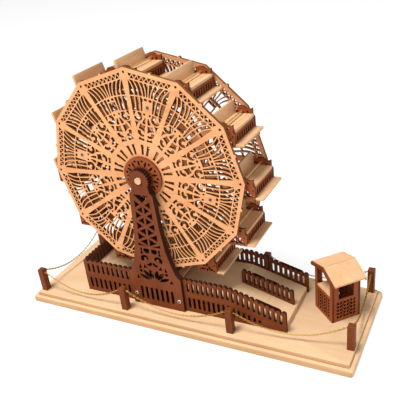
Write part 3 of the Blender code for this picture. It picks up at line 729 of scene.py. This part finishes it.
def latticeLoops():
    # bars run from points on an upright middle bar out to the stiles and back: each triangle between them is
    # drawn from its base, on the middle bar or on a stile, to a tip short of the crossing opposite
    t, rise, holes = tower, tower["nodePitch"] / 2, []
    for number in range(t["nodes"]):
        z = t["nodeLow"] + t["nodePitch"] * number
        edge = towerHalf(z) - t["stile"]
        high = (edge - t["tip"]) * rise / (edge + 1.5)
        low = -high if number else t["bar"]
        holes.append(softPolygon([(t["tip"], z + (0 if number else t["bar"])), (edge, z + low), (edge, z + high)], 0.9, 0.04))
        if number < t["nodes"] - 1:
            middle = z + rise
            edge = towerHalf(middle) - t["stile"] - t["tip"] + 1
            high = (edge - t["bar"]) * rise / (edge + t["tip"])
            holes.append(softPolygon([(t["bar"], middle - high), (edge, middle), (t["bar"], middle + high)], 0.9, 0.04))
    wide = towerHalf(t["vee"]) - t["stile"] + 0.5
    return mirrored(holes) + [softPolygon([(-wide, t["vee"]), (0, z + 3.4), (wide, t["vee"])], 1.2)]


def towerLoops():
    t = tower
    axleZ = wheel["axle"][1]
    right = [(t["base"], t["foot"]), (t["base"], t["block"]), *t["side"]]
    angle = np.radians(np.linspace(-30, 210, 151))
    reach = t["head"] - t["headLobe"] * np.cos(angle * t["headLobes"] / 2) ** 2
    head = np.column_stack([reach * np.cos(angle), axleZ + reach * np.sin(angle)])
    outline = np.vstack([right, head, [(-x, z) for x, z in right[::-1]]])
    holes = [ringPoints((0, axleZ), t["bore"], 24)]
    for number in range(t["slots"]):
        x = (number - (t["slots"] - 1) / 2) * t["slotPitch"]
        holes.append(roundedSlot(x, *t["slotZ"], t["slot"]))
    holes += latticeLoops()
    # scroll field: petals fanned from the block, round and three-cornered openings between their tips, scrolls above
    sided = []
    for turn, low, high, width in t["petals"]:
        way = np.array([math.sin(math.radians(turn)), math.cos(math.radians(turn))])
        sided.append(leaf(np.array([0, t["fan"]]) + way * (low + high) / 2, high - low, width, 90 - turn, 8, 0.75))
    sided.append(ringPoints((27.8, 98.6), 3.4, 12))
    sided.append(softPolygon([(31.0, 79.0), (40.5, 79.0), (37.2, 88.5)], 0.6, 0.05))
    sided.append(softPolygon([(23.8, 104.0), (32.2, 103.2), (27.2, 116.0)], 0.6, 0.06))
    sided.append(softPolygon([(10.6, 106.2), (21.4, 105.0), (18.6, 117.6)], 0.7, 0.08))
    sided.append(stroke(arcPath((8.4, 120.4), 5.8, 175, 305), (1.4, 2.7, 3.0, 2.3, 1.1)))
    sided.append(stroke(arcPath((14.0, 127.4), 6.0, 192, -48), (1.8, 2.3, 2.5, 3.0, 3.5, 3.5), 0, 3.5, 19))
    sided.append(softPolygon([(2.2, 151.0), (14.0, 151.0), (15.0, 143.6), (8.6, 139.6), (2.2, 142.4)], 1.0, 0.03))
    sided.append(softPolygon([(16.4, 151.0), (21.8, 151.0), (20.0, 144.5), (23.2, 137.6), (16.2, 137.4), (17.8, 144.5)], 0.7))
    return [outline] + holes + mirrored(sided)


def addTowers():
    sheet = cutSheet(towerLoops(), tower["thick"])
    x = wheel["axle"][0]
    for name, side in (("front", -1), ("back", 1)):
        parts = [moved(sheet, facingFront(x, side * tower["y"]))]
        addPiece(f"towerLattice_{name}", parts, [wood("darkStain", "z", 7), wood("cutDarkAndShade", "z", 7)], "frame", "dark_wood",
                 f"tower_{name}")
        heads = []
        for across, height in tower["bolts"]:
            head = moved(screwPart(tower["bolt"], 1.8), lambda p: p * (1, -side, 1))
            heads.append(moved(head, shifted(x + across, side * (tower["y"] + tower["thick"] / 2), height)))
        addPiece(f"towerBolts_{name}", heads, [metal("boltSteel"), metal("darkSteelAndRecessShade")], "frame", "dark_wood")


addTowers()
print("towers")

# ---- fences and ramp rail
fences = {
    "thick": 6.0, "y": 63.0, "leftX": -222.0, "rightX": 205.0, "foot": 19.3, "top": 92.5, "lowTop": 60.5,
    "deckTop": 62.5, "rampStart": 93.7, "rampEnd": 202.0, "rampEndTop": 31.0,
    "slot": 2.65, "upper": (64.5, 84.5), "lower": (27.5, 52.0), "headWide": 0.455, "headHigh": 4.2,
    "railHeight": 30.0, "railBays": 11, "railEdge": 5.5,
}


def rampTop(x):
    f = fences
    return f["deckTop"] - (f["deckTop"] - f["rampEndTop"]) / (f["rampEnd"] - f["rampStart"]) * max(0, x - f["rampStart"])


def fenceTop(x):
    f = fences
    return f["top"] - (f["top"] - f["lowTop"]) / (f["rightX"] - f["rampStart"]) * max(0, x - f["rampStart"])


def picketTops(start, end, count, top):
    # a row of round heads, half ellipses narrower than the pickets' pitch, with flat notches between
    pitch = (end - start) / count
    angle = np.radians(np.linspace(180, 0, 9))
    points = []
    for number in range(count):
        middle = start + (number + 0.5) * pitch
        points.append(np.column_stack([middle + pitch * fences["headWide"] * np.cos(angle),
                                       top(middle) + fences["headHigh"] * (np.sin(angle) - 1)]))
    return np.vstack(points)


def fenceSheet(start, end, slots, top, drop):
    f = fences
    pitch = (end - start) / (slots + 1)
    outline = np.vstack([[(start, f["foot"]), (end, f["foot"])], picketTops(start, end, slots + 1, top)[::-1]])
    holes = []
    for number in range(slots):
        x = start + (number + 1) * pitch
        fall = drop(x)
        holes.append(roundedSlot(x, f["upper"][0] - fall, f["upper"][1] - fall, f["slot"]))
        if f["lower"][1] - fall - f["lower"][0] > 2 * f["slot"]:
            holes.append(roundedSlot(x, f["lower"][0], f["lower"][1] - fall, f["slot"]))
    return cutSheet([outline, *holes], f["thick"])


def addFences():
    f = fences
    x, gap = wheel["axle"][0], 0.3
    left, right = x - tower["base"] - gap, x + tower["base"] + gap
    surfaces = lambda number: [wood("darkStain", "x", number), wood("cutDarkAndShade", "x", number)]
    slope = lambda position: f["deckTop"] - rampTop(position)
    start = f["leftX"] - f["thick"] / 2
    short = fenceSheet(start, left, 9, fenceTop, slope)
    long = fenceSheet(right, f["rightX"], 19, fenceTop, slope)
    for number, (side, y) in enumerate((("front", -f["y"]), ("back", f["y"]))):
        addPiece(f"picketFence_{side}Left", [moved(short, facingFront(0, y))], surfaces(8 + number), "frame", "dark_wood",
                 f"fence_{side}_left")
        addPiece(f"picketFence_{side}Right", [moved(long, facingFront(0, y))], surfaces(10 + number), "frame",
                 "dark_wood", f"fence_{side}_right")
    reach = f["y"] - f["thick"] / 2 - gap
    end = fenceSheet(-reach, reach, 10, lambda y: f["top"], lambda y: 0)
    addPiece("picketFence_end", [moved(end, facingSide(f["leftX"]))],
             [wood("darkStain", "y", 12), wood("cutDarkAndShade", "y", 12)], "frame", "dark_wood", "fence_left")
    start, stop, edge = f["rampStart"] + 2, f["rampEnd"] - 5, f["railEdge"]
    pitch = (stop - start) / f["railBays"]
    heads = picketTops(start, stop, f["railBays"], lambda position: rampTop(position) + f["railHeight"])
    outline = np.vstack([[(start, rampTop(start) + gap), (stop, rampTop(stop) + gap)], heads[::-1]])
    holes = []
    for number in range(1, f["railBays"]):
        middle = start + number * pitch
        base = rampTop(middle)
        holes.append(roundedSlot(middle, base + edge, base + f["railHeight"] - edge, f["slot"]))
    addPiece("rampRail", [moved(cutSheet([outline, *holes], f["thick"]), facingFront(0, 0))], surfaces(13), "frame",
             "dark_wood", "ramp_rail")


addFences()
print("fences")

# ---- gondolas, measured from the rod, with +X towards the footboard
gondola = {
    "half": 43.5, "side": 5.0, "rod": 1.6, "rodReach": 50.6, "cap": 0.8, "rodCircle": 185.0,
    "end": ((-17, -31), (21, -31), (21, -10), (18, -7), (18, 5), (13.5, 2.4), (8, 3), (3, 7.5), (-6, 7.5), (-10, 2), (-17, -6)),
    "back": ((-18.0, -4.5), (-12.5, -6.0), (-18.5, 16.5), (-23.5, 15.0)),
    "seatZ": (-9.5, -4.5), "seatRear": (-16.0, 9.4), "seatFront": (10.0, 20.5),
    "riserX": (16.5, 20.0), "riserZ": (-30.5, -9.7), "foot": (17.0, 35.0), "footZ": (-31.2, -27.0),
    "frets": 8,
}


def gondolaEndLoops():
    # scrolls and leaves below the seat, one round hole beside the rod
    g = gondola
    outline = softPolygon(g["end"], 1.2, 0, 2)
    holes = [ringPoints((9.6, -1.4), 2.3, 12), ringPoints((-10.0, -1.6), 1.7, 10)]
    sided = [stroke(arcPath((8.6, -20.5), 4.6, 80, 320, 0.9), (0.7, 1.7, 2.1, 1.9, 1.4), 0, 2.3, 13),
             softPolygon([(13.6, -12.6), (16.6, -12.8), (15.8, -19.5)], 0.6, 0.08),
             softPolygon([(11.2, -28.2), (16.4, -28.2), (16.0, -22.6)], 0.6, 0.08)]
    centre = [leaf(np.array([0, -15.0]), 8.6, 4.4, 90), leaf(np.array([0, -25.2]), 7.2, 4.2, 90)]
    return [outline] + holes + [loop + (2.0, 0) for loop in mirrored(sided) + centre]


def riserLoops():
    # a row of upright leaves with small round holes above and below between them
    g = gondola
    reach = g["half"] - g["side"] - 0.2
    low, high = g["riserZ"]
    middle, pitch = (low + high) / 2, 2 * (reach - 3) / g["frets"]
    holes = []
    for number in range(g["frets"]):
        y = (number - (g["frets"] - 1) / 2) * pitch
        holes.append(leaf(np.array([y, middle]), 14.8, 6.4, 90))
        if number:
            holes += [ringPoints((y - pitch / 2, middle + way * 5.2), 1.6, 8) for way in (-1, 1)]
    return [boxPoints(-reach, reach, low, high)] + holes


def gondolaParts():
    # finishes: 0 red wood, 1 its cut edges, darkened further as painted shade, 2 pale wood, 3 brass
    g = gondola
    reach = g["half"] - g["side"] - 0.2
    end = cutSheet(gondolaEndLoops(), g["side"])
    parts = [moved(end, facingFront(0, side * (g["half"] - g["side"] / 2))) for side in (-1, 1)]
    riser = cutSheet(riserLoops(), g["riserX"][1] - g["riserX"][0])
    parts.append(moved(riser, facingSide(sum(g["riserX"]) / 2)))
    ends = np.array([-g["half"] + 0.3, -g["half"] + 0.7, g["half"] - 0.7, g["half"] - 0.3])
    back = softPolygon(g["back"], 0.7, 0, 2)
    grid = np.stack([np.column_stack([back[:, 0] + 0, np.full(len(back), y), back[:, 1]]) for y in ends])
    middle = grid.mean(axis=(0, 1))
    for row in (0, -1):
        grid[row, :, [0, 2]] = (grid[row][:, [0, 2]] - middle[[0, 2]]).T * 0.94 + middle[[0, 2]][:, None]
    parts.append(gridPart(grid, False, True, True, 2))
    for x, y in ((g["seatRear"], reach), (g["seatFront"], reach)):
        parts.append(blockPart(x, (-y, y), g["seatZ"], 0.5, 2))
    parts.append(blockPart(g["foot"], (-g["half"] + 0.2, g["half"] - 0.2), g["footZ"], 0.6, 2))
    rod = np.column_stack([np.zeros(4), np.array([-1, -0.99, 0.99, 1]) * g["rodReach"], np.zeros(4)])
    parts.append(tubePart(rod, g["rod"], 12, 3))
    for side in (-1, 1):
        cap = [(0, side * (g["rodReach"] + reach), 0) for reach in (-1.2, -0.6, 0, g["cap"])]
        parts.append(tubePart(cap, 1.9, 12, 4))
    return parts


def addGondolas():
    parts = gondolaParts()
    x0, z0 = wheel["axle"]
    surfaces = [wood("redStain", "x", 14), wood("cutRedAndShade", "x", 14), wood("paleMaple", "y", 15), metal("rodBrass"), metal("darkSteelAndRecessShade")]
    print("gondola faces", sum(len(part[1]) for part in parts))
    for number in range(wheel["sides"]):
        turn = math.radians(wheel["firstCorner"] - 30 * number)
        place = shifted(x0 + gondola["rodCircle"] * math.cos(turn), 0, z0 + gondola["rodCircle"] * math.sin(turn))
        name = f"gondola_{number + 1:02d}"
        addPiece(f"bench_{number + 1:02d}", [moved(part, place) for part in parts], surfaces, name, "red_wood", name)


addGondolas()
print("gondolas")

# ---- base board, deck, ramp and posts
board = {
    "size": (670.0, 235.0), "corner": 6.0,
    "profile": ((0.6, 0.0), (0.0, 0.6), (0.0, 8.6), (0.35, 10.2), (1.3, 11.4), (2.8, 12.0), (7.2, 12.0), (7.3, 11.2),
                (8.2, 11.2), (8.3, 17.7), (8.6, 18.6), (9.4, 19.0)),
}


def addBoard():
    # the edge's profile of (inset, height) carried round a rectangle with rounded corners
    (length, width), corner = board["size"], board["corner"]
    rings = []
    for inset, height in board["profile"]:
        radius = max(corner - inset * 0.5, 1.5)
        ring = []
        for quarter, (sx, sy) in enumerate(((1, 1), (-1, 1), (-1, -1), (1, -1))):
            turn = np.radians(90 * quarter + np.linspace(0, 90, 7))
            ring.append(np.column_stack([sx * (length / 2 - inset - radius) + radius * np.cos(turn),
                                         sy * (width / 2 - inset - radius) + radius * np.sin(turn),
                                         np.full(7, height)]))
        rings.append(np.vstack(ring))
    part = gridPart(np.array(rings), False, True, True)
    corners = part[0][np.array(part[1][:-2])]
    facing = np.cross(corners[:, 2] - corners[:, 0], corners[:, 3] - corners[:, 1])
    # the long sides' upright faces take the darker maple: painted shade
    part[2][:-2][np.abs(facing[:, 1]) > 0.7 * np.linalg.norm(facing, axis=1)] = 1  # the long sides' upright faces
    addPiece("mouldedBoard", [part], [wood("boardMaple", "x", 16), wood("shadedEdgeMaple", "x", 16)], "frame", "light_wood",
             "base_board")
    finishNode("deck", wood("boardMaple", "x", 17))
    finishNode("ramp", wood("boardMaple", "y", 18))
    for number in range(8):
        finishNode(f"post_{number + 1}", wood("darkStain", "z", 19 + number))


addBoard()
print("board")

# ---- chain
chain = {
    "posts": ((-315, -94), (-113.5, -97), (109, -94.5), (320, -68), (315, 102), (109, 97), (-113.5, 97), (-302, 97)),
    "height": 62.3, "face": 7.75, "stub": 0.9,
    "runs": (("front", (0, 1, 2, 3), 31.0), ("right", (3, 4), 27.0), ("back", (4, 5, 6, 7), 31.0), ("left", (7, 0), 26.0)),
    "pitch": 4.1, "link": (5.6, 4.2), "wire": 0.8,
}


def linkGrid():
    # one link: a small circle carried round a stadium, which is a circle drawn apart along X
    length, width = chain["link"]
    angle = np.arange(10) * 2 * np.pi / 10
    radius = width / 2 - chain["wire"]
    way = np.column_stack([np.cos(angle), np.sin(angle), 0 * angle])
    middle = way * radius + np.sign(np.round(way[:, :1], 6)) * np.array([length / 2 - width / 2, 0, 0])
    turn = np.arange(4) * np.pi / 2 + np.pi / 4
    return middle[:, None] + chain["wire"] * (way[:, None] * np.cos(turn)[None, :, None]
                                             + np.array([0, 0, 1]) * np.sin(turn)[None, :, None])


def chainPath(stops, sag):
    # parabolas between the posts' faces, z less four times the sag times share times what is left of it
    marks = [np.array((*chain["posts"][stop], chain["height"])) for stop in stops]
    points = []
    for here, there in zip(marks, marks[1:]):
        way = (there - here) / np.abs(there - here)[:2].max()
        first, last = here + way * chain["face"], there - way * chain["face"]
        share = np.linspace(0, 1, 60)[:, None]
        curve = first + (last - first) * share
        curve[:, 2] -= 4 * sag * share[:, 0] * (1 - share[:, 0])
        points.append(curve)
    return np.vstack(points)


def addChains():
    link = linkGrid()
    _, faces, _ = gridPart(link, True, True)
    faces = np.array(faces)
    for name, stops, sag in chain["runs"]:
        path = chainPath(stops, sag)
        count = int(lengthOf(path) / chain["pitch"])
        middle = along(path, (np.arange(count) + 0.5) / count)
        tangent = np.gradient(middle, axis=0)
        tangent /= np.linalg.norm(tangent, axis=1)[:, None]
        side = np.cross(tangent, (0, 0, 1.0))
        side /= np.linalg.norm(side, axis=1)[:, None]
        top = np.cross(side, tangent)
        turn = np.where(np.arange(count) % 2, np.pi / 4, -np.pi / 4)[:, None]
        wide, deep = side * np.cos(turn) + top * np.sin(turn), top * np.cos(turn) - side * np.sin(turn)
        flat = link.reshape(-1, 3)
        points = (middle[:, None] + tangent[:, None] * flat[None, :, :1] + wide[:, None] * flat[None, :, 1:2]
                  + deep[:, None] * flat[None, :, 2:3]).reshape(-1, 3)
        every = (faces[None] + (np.arange(count) * len(flat))[:, None, None]).reshape(-1, 4).tolist()
        part = (points, [tuple(face) for face in every], np.zeros(len(every)))
        addPiece(f"linkChain_{name}", [part], [metal("chainBrass")], "frame", "brass_chain", f"chain_{name}", smooth=80)


addChains()
print("chain")

# ---- booth, measured from its near corner along its front wall (X) and its counter wall (Y)
booth = {
    "corner": (272.5, -15.5), "turn": 46.7, "long": 57.0, "deep": 59.0, "wall": 4.0, "foot": 19.3,
    "ridge": (25.5, 125.5), "nearEave": (-11.5, 106.0), "farEave": (65.0, 116.5), "roof": 3.0, "overhang": 5.0,
    "stile": 8.0, "sill": 71.5, "frontWindow": (13.0, 43.5, 67.0, 94.0), "frets": (25.0, 66.0), "frontFrets": (25.0, 62.0),
    "stems": 3, "leafRow": 7.0, "lean": (32, 58), "leaf": (7.6, 5.0), "bud": 1.6,
}


def roofLine(y):
    ridge = booth["ridge"]
    eave = booth["nearEave"] if y < ridge[0] else booth["farEave"]
    return ridge[1] + (eave[1] - ridge[1]) * (y - ridge[0]) / (eave[0] - ridge[0])


def gableLoop(inset, low):
    b = booth
    under = b["roof"] * 1.2 + 0.3 + inset
    far = b["deep"] - inset
    return np.array([(inset, low), (far, low), (far, roofLine(far) - under), (b["ridge"][0], b["ridge"][1] - under),
                     (inset, roofLine(inset) - under)])


def foliage(x0, x1, z0, z1):
    # pairs of leaves leaning off upright stems, more in every other row, with round buds between the stems
    b = booth
    stems, rows = b["stems"], round((z1 - z0) / b["leafRow"])
    wide, tall = (x1 - x0) / stems, (z1 - z0) / rows
    holes = []
    for stem in range(stems):
        for row in range(rows):
            x, z = x0 + (stem + 0.5) * wide, z0 + (row + 0.5) * tall
            lean = b["lean"][(row + stem) % 2]
            for side in (-1, 1):
                holes.append(leaf(np.array([x + side * wide * 0.24, z]), *b["leaf"], 90 - side * lean, 4, 0.8))
            if stem and row:
                holes.append(ringPoints((x - wide / 2, z - tall / 2), b["bud"], 8))
    return holes


def addBooth():
    b = booth
    turn = math.radians(b["turn"])
    c, s = math.cos(turn), math.sin(turn)
    spin = np.array([(c, s, 0), (-s, c, 0), (0, 0, 1)])
    place = lambda p: p @ spin + (*b["corner"], 0)
    red = [wood("redStain", "z", 30), wood("cutRedAndShade", "z", 30)]
    stile = b["stile"]
    fret = foliage(stile, b["deep"] - stile, *b["frets"])
    window = gableLoop(stile, b["sill"])
    for name, x, holes in (("counter_wall", b["wall"] / 2, [window, *fret]), ("far_wall", b["long"] - b["wall"] / 2, fret)):
        sheet = cutSheet([gableLoop(0, b["foot"]), *holes], b["wall"])
        addPiece(f"boothFret_{name}", [moved(moved(sheet, facingSide(x)), place)], red, "frame", "red_wood", f"booth_{name}")
    x0, x1, under = b["wall"] + 0.3, b["long"] - b["wall"] - 0.3, b["roof"] * 1.2 + 0.3
    fret = foliage(x0 + 4, x1 - 4, *b["frontFrets"])
    holes = [boxPoints(*b["frontWindow"]), *fret]
    for name, y, top in (("front_wall", b["wall"] / 2, roofLine(0)),
                         ("back_wall", b["deep"] - b["wall"] / 2, roofLine(b["deep"]))):
        sheet = cutSheet([boxPoints(x0, x1, b["foot"], top - under), *holes], b["wall"])
        addPiece(f"boothFret_{name}", [moved(moved(sheet, facingFront(0, y)), place)], red, "frame", "red_wood",
                 f"booth_{name}")
    finishNode("booth_counter", wood("paleMaple", "y", 31))
    finishNode("booth_roof_near", wood("paleMaple", "x", 32))
    finishNode("booth_roof_far", wood("paleMaple", "x", 33))
    finishNode("booth_gable_board_near", wood("darkStain", "y", 34))
    finishNode("booth_gable_board_far", wood("paleMaple", "y", 35))


addBooth()
print("booth")

print(scene.view_settings.view_transform, scene.view_settings.look, scene.view_settings.exposure)
